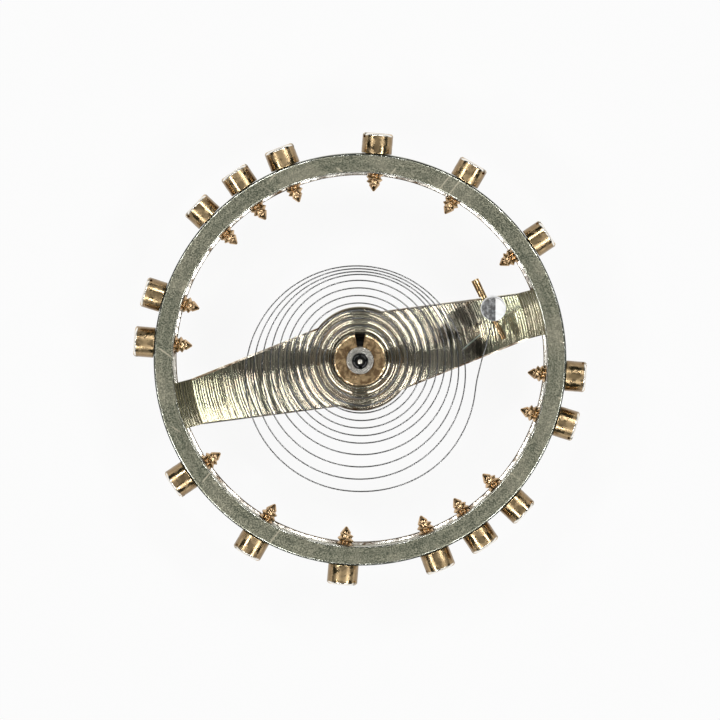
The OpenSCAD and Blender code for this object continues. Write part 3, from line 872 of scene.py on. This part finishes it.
rollers = {
    "bevel": 0.025, "edge": 0.01,
    "tableRadius": 1.15, "tableHeight": 0.2, "bossRadius": 0.48, "bossEdge": 0.02, "tableSegments": 192,
    "safetyRadius": 0.55, "safetyHeight": 0.22, "sleeveRadius": 0.374, "safetySegments": 160,
    "crescent": 0.24, "crescentReach": 0.132, "crescentSegments": 64,
    "jewelAt": 0.86, "jewelRadius": 0.18, "jewelFlat": 0.081, "jewelGap": 0.008, "jewelEdge": 0.015,
    "jewelSteps": 40,
}


def buildRoller(name, low, top, radius, height, boss, bossEdge, segments):
    # A disc with a boss on it, bored for the staff
    bore = staff["arborRadius"] + faceGap
    rim = low + height
    bevel = rollers["bevel"]
    edge = rollers["edge"]
    return turnedPiece(name, [
        (bore, low, edge), (radius - bevel, low, edge), (radius, low + bevel, edge),
        (radius, rim - bevel, edge), (radius - bevel, rim, edge), (boss, rim, edge),
        (boss, top, bossEdge), (bore, top, edge)], segments, closed=True)


def jewelOutline(grow):
    # A circle with a flat that faces away from the staff
    radius = rollers["jewelRadius"] + grow
    half = math.degrees(math.acos((rollers["jewelFlat"] + grow) / radius))
    steps = rollers["jewelSteps"]
    turns = [heading(half + (360 - 2 * half) * i / steps) for i in range(steps + 1)]
    return [(rollers["jewelAt"] + radius * way.x, radius * way.y) for way in turns]


def buildTable(r):
    low, top = heights("roller_table")
    table = buildRoller("table_roller", low, top, r["tableRadius"], r["tableHeight"],
                        r["bossRadius"], r["bossEdge"], r["tableSegments"])
    hole = prism("cutter", jewelOutline(r["jewelGap"]), [(low - cutPast, 0), (top + cutPast, 0)])
    return combine(table, [turnedBy(hole, armTurn)], "DIFFERENCE")


def buildSafety(r):
    low, top = heights("safety_roller")
    roller = buildRoller("guard_roller", low, top, r["safetyRadius"], r["safetyHeight"],
                         r["sleeveRadius"], r["edge"], r["safetySegments"])
    reach = r["safetyRadius"] + r["crescent"] - r["crescentReach"]
    notch = rod(r["crescent"], low - cutPast, top + cutPast, r["crescentSegments"])
    return combine(roller, [turnedBy(notch, armTurn @ moved(reach, 0, 0))], "DIFFERENCE")


def buildJewel(r):
    low, top = heights("impulse_jewel")
    edge = r["jewelEdge"]
    layers = [(low, edge), (low + edge, 0), (top - edge, 0), (top, edge)]
    return turnedBy(prism("ruby_pin", jewelOutline(0), layers), armTurn)


# Hairspring: one flat blade from the collet to the stud, with its angles in degrees

spring = {
    "start": -15, "turns": 11, "pitch": 0.183, "innerGap": 0.137, "holeBack": 62,
    "shift": 0.116, "shiftFrom": 6.95, "shiftTo": 260,
    "flare": 0.095, "flareOver": 60, "flareBefore": 90,
    "bladeThickness": 0.03, "bladePlay": 0.012, "ringsPerTurn": 120,
    "leadIn": 20, "leadInRings": 24, "leadInPull": 0.5, "holeStart": 0.25, "holeLeave": 1.05,
    "leadOut": 10, "leadOutRings": 30, "leadOutPull": 1.4, "studPull": 0.25, "studReach": 0.3,
    "edgeAngles": (0, 0.6, 1.2, 1.94, 2.54, math.pi), "sharp": 50,  # these edge angles are in radians
}
bladeLow, bladeTop = heights("hairspring")
bladeHeight = bladeTop - bladeLow
bladeZ = (bladeLow + bladeTop) / 2


def bladeOffset(holeRadius):
    # How far off a hole's axis the blade lies in it
    reach = math.sqrt(holeRadius ** 2 - (bladeHeight / 2) ** 2)
    return reach - spring["bladeThickness"] / 2 - spring["bladePlay"]


def smoothStep(t):
    u = max(0.0, min(1.0, t))
    return u * u * (3 - 2 * u)


def hermite(p, q, u, v, t):
    # The point at t, from 0 to 1, of a curve from p to q that leaves along u and arrives along v
    return ((2 * t ** 3 - 3 * t ** 2 + 1) * p + (t ** 3 - 2 * t ** 2 + t) * u
            + (3 * t ** 2 - 2 * t ** 3) * q + (t ** 3 - t ** 2) * v)


def springRoute(s):
    bendAt = s["start"] + 360 * s["turns"] + s["leadOut"]
    flareFrom = bendAt - s["flareBefore"]

    def spiral(a):
        turn = (a - s["start"]) / 360
        radius = collet["radius"] + s["innerGap"] + s["pitch"] * turn
        radius += s["flare"] * smoothStep((a - flareFrom) / s["flareOver"])
        return heading(a) * radius + heading(s["shiftTo"]) * s["shift"] * max(0.0, turn - s["shiftFrom"])

    def along(a):
        return (spiral(a + 1) - spiral(a)).normalized()

    holeEnd = math.sqrt(collet["radius"] ** 2 - colletHoleMid.length ** 2)
    atCollet = colletHoleMid + heading(colletHoleTurn) * bladeOffset(collet["holeRadius"])
    route = [atCollet + colletHoleDir * holeEnd * s["holeStart"]]
    first = s["start"] + s["leadIn"]
    leave = atCollet + colletHoleDir * s["holeLeave"] * holeEnd
    pull = s["leadInPull"]
    count = s["leadInRings"]
    route += [hermite(leave, spiral(first), colletHoleDir * pull, along(first) * pull, i / count)
              for i in range(count)]
    step = 360 / s["ringsPerTurn"]
    route += [spiral(first + i * step) for i in range(int((bendAt - first) / step))]
    bladeEnd = studAt - heading(stud["angle"]) * (stud["holeOffset"] + bladeOffset(stud["holeRadius"]))
    enter = bladeEnd - studHoleDir * s["studReach"]
    away = along(bendAt) * s["leadOutPull"]
    count = s["leadOutRings"]
    route += [hermite(spiral(bendAt), enter, away, studHoleDir * s["studPull"], i / count)
              for i in range(count + 1)]
    return route + [bladeEnd + studHoleDir * s["studReach"]]


def buildSpring(s):
    route = springRoute(s)
    half = s["bladeThickness"] / 2
    straight = bladeHeight / 2 - half
    section = [(half * math.cos(a), straight + half * math.sin(a)) for a in s["edgeAngles"]]
    section += [(-x, -y) for x, y in section]
    sides = len(section)
    vertices = []
    lengths = [0.0]
    for i, here in enumerate(route):
        back = route[max(i - 1, 0)]
        line = (route[min(i + 1, len(route) - 1)] - back).normalized()
        vertices += [(here.x + line.y * out, here.y - line.x * out, bladeZ + up) for out, up in section]
        if i:
            lengths.append(lengths[-1] + (here - back).length)
    faces = [list(range(sides)), list(range(len(vertices) - sides, len(vertices)))[::-1]]
    for low in range(0, len(vertices) - sides, sides):
        for k in range(sides):
            n = (k + 1) % sides
            faces.append([low + k, low + sides + k, low + sides + n, low + n])
    blade = newObject("spiral_spring", vertices, faces)
    blade.data.materials.append(metals["spring_steel"])
    shadeSmooth(blade.data, s["sharp"])
    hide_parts("hairspring")
    # The blade winds evenly: each point turns by its share of the way from the stud to the collet
    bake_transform(blade, "stud", "balance",
             start=(studAt.x * mm, studAt.y * mm, bladeZ * mm), end=(0, 0, bladeZ * mm))
    share = blade.data.attributes["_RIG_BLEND"].data
    for i, length in enumerate(lengths):
        for k in range(sides):
            share[i * sides + k].value = 1 - length / lengths[-1]
    return blade


# Collet, with the hole and the pin that hold the spring's inner end

collet = {
    "radius": 0.64, "bevel": 0.05, "bevelSlope": 0.385, "boreEdge": 0.012, "edge": 0.006,
    "slitOut": 0.28, "slitIn": 0.14, "slitReach": 1.1, "holeRadius": 0.11, "holeHalf": 0.8,
    "pinRadius": 0.065, "pinLength": 0.7, "pinGap": 0.008, "pinEdge": 0.02,
    "segments": 160, "holeSegments": 48, "pinSegments": 40, "sideLevel": 0.5, "edgeLevel": 0.98,
}
colletBore = staff["colletSeat"] + faceGap
colletHoleTurn = spring["start"] - spring["holeBack"]
colletHoleDir = heading(colletHoleTurn + 90)
colletHoleMid = heading(colletHoleTurn) * (colletBore + collet["radius"]) / 2


def buildCollet(c):
    low, top = heights("collet")
    fall = c["bevel"] * c["bevelSlope"]
    inner = c["radius"] - c["bevel"]
    ring = turnedPiece("spring_collet", [
        (colletBore, low, c["boreEdge"]), (inner, low, c["edge"]), (c["radius"], low + fall, c["edge"]),
        (c["radius"], top - fall, c["edge"]), (inner, top, c["edge"]), (colletBore, top, c["boreEdge"]),
    ], c["segments"], closed=True)
    out = c["slitReach"] * c["radius"]
    wide = c["slitOut"] / 2
    narrow = c["slitIn"] / 2
    seat = staff["colletSeat"]
    wedge = [(-narrow, 0), (narrow, 0), (narrow, seat), (wide, out), (-wide, out), (-narrow, seat)]
    slit = prism("cutter", wedge, [(low - cutPast, 0), (top + cutPast, 0)])
    hole = rod(c["holeRadius"], -c["holeHalf"], c["holeHalf"], c["holeSegments"])
    turnedBy(hole, moved(*colletHoleMid, bladeZ) @ turned(colletHoleTurn + 90) @ lying)
    return combine(ring, [slit, hole], "DIFFERENCE")


def buildColletPin(c):
    half = c["pinLength"] / 2
    pin = turnedPiece("collet_taper_pin", [
        (0, -half, 0), (c["pinRadius"], -half, c["pinEdge"]), (c["pinRadius"], half, c["pinEdge"]),
        (0, half, 0)], c["pinSegments"])
    at = colletHoleMid - heading(colletHoleTurn) * (c["holeRadius"] - c["pinGap"] - c["pinRadius"])
    return turnedBy(pin, moved(*at, bladeZ) @ turned(colletHoleTurn + 90) @ lying)


def colletFinish(face):
    # The sides and the bevel take darker copies of the brass, a painted shade
    level = abs(face.normal.z)
    if level < collet["sideLevel"]:
        return metals["collet_side_painted_shade"]
    return metals["collet_bevel_painted_shade" if level < collet["edgeLevel"] else "collet_brass"]


# Stud and its taper pin

stud = {
    "distance": 3.46, "angle": 21.4, "radius": 0.28,
    "footRadius": 0.31, "footTaper": 0.03, "footHeight": 0.5,
    "edge": 0.02, "footEdge": 0.015, "neckEdge": 0.01, "flatSlope": 42, "flatEdge": 0.04,
    "bevel": 0.012, "bevelAngle": 35, "holeRadius": 0.11, "holeOffset": 0.11, "holeTurn": 94.6,
    "pinSmall": 0.075, "pinBig": 0.095, "pinLength": 1.6, "pinOut": 0.8, "pinGap": 0.008, "pinEdge": 0.015,
    "flatTo": 0.36, "segments": 96, "holeSegments": 48, "pinSegments": 48,
    "filedFacing": (-0.3, 0.6), "topFacing": 0.3,
}
studAt = heading(stud["angle"]) * stud["distance"]
studHoleDir = heading(stud["angle"] + stud["holeTurn"])
studHoleTurn = turned(stud["angle"] + stud["holeTurn"])


def buildStud(s):
    low, top = heights("hairspring_stud")
    shoulder = low + s["footHeight"]
    post = turnedPiece("stud_post", [
        (0, low, 0), (s["footRadius"] - s["footTaper"], low, s["edge"]),
        (s["footRadius"], shoulder, s["footEdge"]), (s["radius"], shoulder, s["neckEdge"]),
        (s["radius"], top, s["edge"]), (0, top, 0)], s["segments"])
    flat = block(-far, 0, -far, far, 0, far)
    turnedBy(flat, moved(s["flatEdge"], 0, top) @ turned(-s["flatSlope"], "Y"))
    hole = rod(s["holeRadius"], -far, far, s["holeSegments"])
    turnedBy(hole, moved(*(heading(s["angle"]) * -s["holeOffset"]), bladeZ) @ studHoleTurn @ lying)
    combine(post, [flat, hole], "DIFFERENCE")
    softenEdges(post, s["bevel"], s["bevelAngle"])
    return turnedBy(post, moved(*studAt, 0))


def buildStudPin(s):
    # The flat that faces the blade ends at flatTo, past the blade's end
    bigEnd = s["pinLength"] - s["pinOut"]
    pin = turnedPiece("stud_taper_pin", [
        (0, -s["pinOut"], 0), (s["pinSmall"], -s["pinOut"], s["pinEdge"]),
        (s["pinBig"], bigEnd, s["pinEdge"]), (0, bigEnd, 0)], s["pinSegments"])
    turnedBy(pin, lying)
    seat = s["holeRadius"] - s["pinBig"] - s["pinGap"]
    flatAt = bladeOffset(s["holeRadius"]) - spring["bladeThickness"] / 2 - spring["bladePlay"] + seat
    combine(pin, [block(-far, s["flatTo"], flatAt, far, -far, far)], "DIFFERENCE")
    at = studAt + heading(s["angle"]) * (seat - s["holeOffset"])
    return turnedBy(pin, moved(*at, bladeZ) @ studHoleTurn)


def studFinish(face):
    # Filed on the sloping flat; frosted and near-white on top, a painted highlight
    if face.normal.x < stud["filedFacing"][0] and face.normal.z > stud["filedFacing"][1]:
        return metals["filed_steel"]
    return metals["painted_highlight_top" if face.normal.z > stud["topFacing"] else "stud_steel"]


# Timing screws: the rim has places for more, and each half of it has screws in the same ones

screws = {
    "count": 16, "places": 28, "slots": (1, 3, 5, 7, 8, 9, 11, 12), "holeGap": 0.008,
    "headRadius": 0.37, "headLength": 0.49, "headBevel": 0.04, "headEdge": 0.015, "headFoot": 0.02,
    "slotWidth": 0.1, "slotDepth": 0.12, "slotTurn": 90, "slotSpread": 35, "slotStep": 137.5,
    "threadRadius": 0.2, "threadPitch": 0.12, "threadDepth": 0.05, "threadFlat": 0.8,
    "stub": 0.14, "point": 0.3, "pointEnd": 0.025, "pointTip": 0.008,
    "runOutBy": 0.5, "runOutOver": 0.3, "segments": 64, "row": 0.012,
}


def screwTurn(n):
    half, slot = divmod(n - 1, len(screws["slots"]))
    places = screws["slots"][slot] + 0.5
    return wheel["armAngle"] + 180 * half + places * 360 / screws["places"]


def buildScrew(n, s):
    # Drawn along Z, with the rim's outer wall at zero and the head above it
    top = faceGap + s["headLength"]
    shank = wheel["rimWidth"] + s["stub"]
    coneTop = -shank - s["threadPitch"] / 2
    end = -shank - s["point"]
    count = int(-end / s["row"])
    rows = [(0, end - s["pointTip"], 0.0), (s["pointEnd"], end, 0.0)]
    for i in range(count - 1, 0, -1):
        z = end * i / count
        share = max(0.0, (coneTop - z) / (coneTop - end))
        radius = s["threadRadius"] + (s["pointEnd"] - s["threadRadius"]) * share
        rows.append((radius, z, s["threadDepth"] * smoothStep((s["runOutBy"] - share) / s["runOutOver"])))
    core = s["threadRadius"] - s["threadDepth"]
    head = roundedOutline([
        (core, faceGap, 0), (s["headRadius"], faceGap, s["headFoot"]),
        (s["headRadius"], top - s["headBevel"], s["headEdge"]),
        (s["headRadius"] - s["headBevel"], top, s["headEdge"]), (0, top, 0)])
    rows += [(p.x, p.y, 0.0) for p in head]

    def thread(row, angle):
        wave = 0.5 + 0.5 * math.cos(2 * math.pi * row[1] / s["threadPitch"] + angle)
        return row[2] * wave ** s["threadFlat"]

    screw = lathe("screw_" + str(n).zfill(2), rows, s["segments"], groove=thread)
    half = s["slotWidth"] / 2
    slot = block(-far, far, -half, half, top - s["slotDepth"], top + cutPast)
    slotTurn = s["slotTurn"] + s["slotSpread"] * math.sin(math.radians(s["slotStep"] * n))
    combine(screw, [turnedBy(slot, turned(slotTurn))], "DIFFERENCE")
    return turnedBy(screw, turned(screwTurn(n)) @ moved(rimRadius, 0, screwHeight) @ lying)


# The pieces

wheelMaterials = (
    satinRim, edges["polished_bevel"], edges["brass_wall"], turnedArm,
    edges["painted_shade_edge"], edges["brown_lip"], edges["arm_arris"])
finishPiece(buildWheel(wheel), wheelMaterials, "balance", "balance_wheel", 18, wheelFinish)
print("wheel built")

staffMaterials = (metals["staff_steel"], metals["painted_shade_steel"])
finishPiece(buildStaff(staff), staffMaterials, "balance", "balance_staff", 30, staffFinish)
rollerSteel = (metals["roller_steel"],)
finishPiece(buildTable(rollers), rollerSteel, "balance", "roller_table")
finishPiece(buildSafety(rollers), rollerSteel, "balance", "safety_roller")
finishPiece(buildJewel(rollers), (ruby,), "balance", "impulse_jewel")
print("staff and rollers built")

colletMaterials = (metals["collet_brass"], metals["collet_side_painted_shade"], metals["collet_bevel_painted_shade"])
finishPiece(buildCollet(collet), colletMaterials, "balance", "collet", 35, colletFinish)
pinBrass = (metals["pin_brass"],)
finishPiece(buildColletPin(collet), pinBrass, "balance", "collet_pin", 35)
studMaterials = (metals["stud_steel"], metals["filed_steel"], metals["painted_highlight_top"])
finishPiece(buildStud(stud), studMaterials, "stud", "hairspring_stud", 50, studFinish)
finishPiece(buildStudPin(stud), pinBrass, "stud", "stud_pin", 35)
print("collet, stud and pins built")

hairspring = buildSpring(spring)
print("hairspring built:", len(hairspring.data.polygons), "faces")

for n in range(1, screws["count"] + 1):
    node = "timing_screw_" + str(n).zfill(2)
    finishPiece(buildScrew(n, screws), (screwBrass,), "balance", node, 38)
print("timing screws built")


# Camera: nearly straight above, leaning a little, with the wheel's field filling the frame

camera = {
    "distance": 150, "field": 17.43, "lean": 3.0, "aim": (0, 0, rimTop),
    "sensor": 36, "clipStart": 0.005, "clipEnd": 10,
}


def placeCamera(c):
    data = bpy.data.cameras.new("camera")
    data.sensor_width = c["sensor"]
    data.sensor_fit = "HORIZONTAL"
    data.lens = c["sensor"] * c["distance"] / c["field"]
    data.clip_start = c["clipStart"]
    data.clip_end = c["clipEnd"]
    obj = bpy.data.objects.new("camera", data)
    scene.collection.objects.link(obj)
    lean = math.radians(c["lean"])
    away = Vector((0, math.sin(lean), math.cos(lean))) * c["distance"]
    obj.matrix_world = Matrix.Translation((Vector(c["aim"]) + away) * mm) @ turned(-c["lean"], "X")
    scene.camera = obj


placeCamera(camera)


# Floor and light: pale floor, pale horizon, dim ceiling with a glow overhead, and a ring of soft
# strips with four gaps

studio = {
    "distance": 300, "elevation": 48, "stripHeight": 26, "radiance": 15.5, "stripsPerArc": 3,
    "arcs": ((15, 77), (103, 167), (193, 257), (283, 347)),
    "horizon": (0.95, 0.95, 0.95), "horizonEdge": (0.05, 0.11), "ceiling": (0.014, 0.018, 0.015),
    "zenith": (0.26, 0.26, 0.25), "zenithEdge": (0.87, 0.97),
    "floorColor": (0.97, 0.97, 0.97), "floorRoughness": 0.9, "floorGlow": 0.94,
    "floorGap": 0.02, "floorSize": 20000,
}


def buildFloor(s):
    size = s["floorSize"]
    low = cadBox[0][2] / mm - s["floorGap"]
    corners = [(-size, -size, low), (size, -size, low), (size, size, low), (-size, size, low)]
    floor = newObject("floor", corners, [(0, 1, 2, 3)])
    floor.data.transform(Matrix.Scale(mm, 4))
    material = bpy.data.materials.new("pale_floor")
    material.use_nodes = True
    tree = material.node_tree
    shader = tree.nodes["Principled BSDF"]
    shader.inputs["Roughness"].default_value = s["floorRoughness"]
    plug(tree, s["floorColor"], shader.inputs["Base Color"])
    rays = place(tree, "ShaderNodeLightPath").outputs
    shown = calc(tree, "MAXIMUM", rays["Is Glossy Ray"], rays["Is Transmission Ray"])
    shown = calc(tree, "MAXIMUM", rays["Is Camera Ray"], shown)
    glow = place(tree, "ShaderNodeEmission", (s["floorColor"], 1.0))
    mixed = place(tree, "ShaderNodeMixShader")
    tree.links.new(times(tree, shown, s["floorGlow"]), mixed.inputs[0])
    tree.links.new(shader.outputs[0], mixed.inputs[1])
    tree.links.new(glow.outputs[0], mixed.inputs[2])
    tree.links.new(mixed.outputs[0], tree.nodes["Material Output"].inputs["Surface"])
    floor.data.materials.append(material)


def buildStrips(s):
    up = math.radians(s["elevation"])
    for arc, (first, last) in enumerate(s["arcs"]):
        share = (last - first) / s["stripsPerArc"]
        width = 2 * s["distance"] * math.cos(up) * math.tan(math.radians(share / 2))
        for i in range(s["stripsPerArc"]):
            data = bpy.data.lights.new("strip_" + str(arc + 1) + "_" + str(i + 1), "AREA")
            data.shape = "RECTANGLE"
            data.size = width * mm
            data.size_y = s["stripHeight"] * mm
            data.energy = s["radiance"] * math.pi * data.size * data.size_y
            obj = bpy.data.objects.new(data.name, data)
            scene.collection.objects.link(obj)
            way = heading(first + (i + 0.5) * share) * math.cos(up)
            away = Vector((way.x, way.y, math.sin(up)))
            obj.location = away * s["distance"] * mm
            obj.rotation_euler = away.to_track_quat("Z", "Y").to_euler()
            obj.visible_camera = False


def buildWorld(s):
    world = bpy.data.worlds.new("studio")
    scene.world = world
    world.use_nodes = True
    tree = world.node_tree
    where = place(tree, "ShaderNodeTexCoord").outputs["Generated"]
    upward = place(tree, "ShaderNodeSeparateXYZ", (where,)).outputs["Z"]
    color = layer(tree, s["horizon"], s["ceiling"], span(tree, upward, *s["horizonEdge"]))
    color = layer(tree, color, s["zenith"], span(tree, upward, *s["zenithEdge"]))
    plug(tree, color, tree.nodes["Background"].inputs["Color"])


buildFloor(studio)
buildStrips(studio)
buildWorld(studio)
print("camera, floor and light placed")
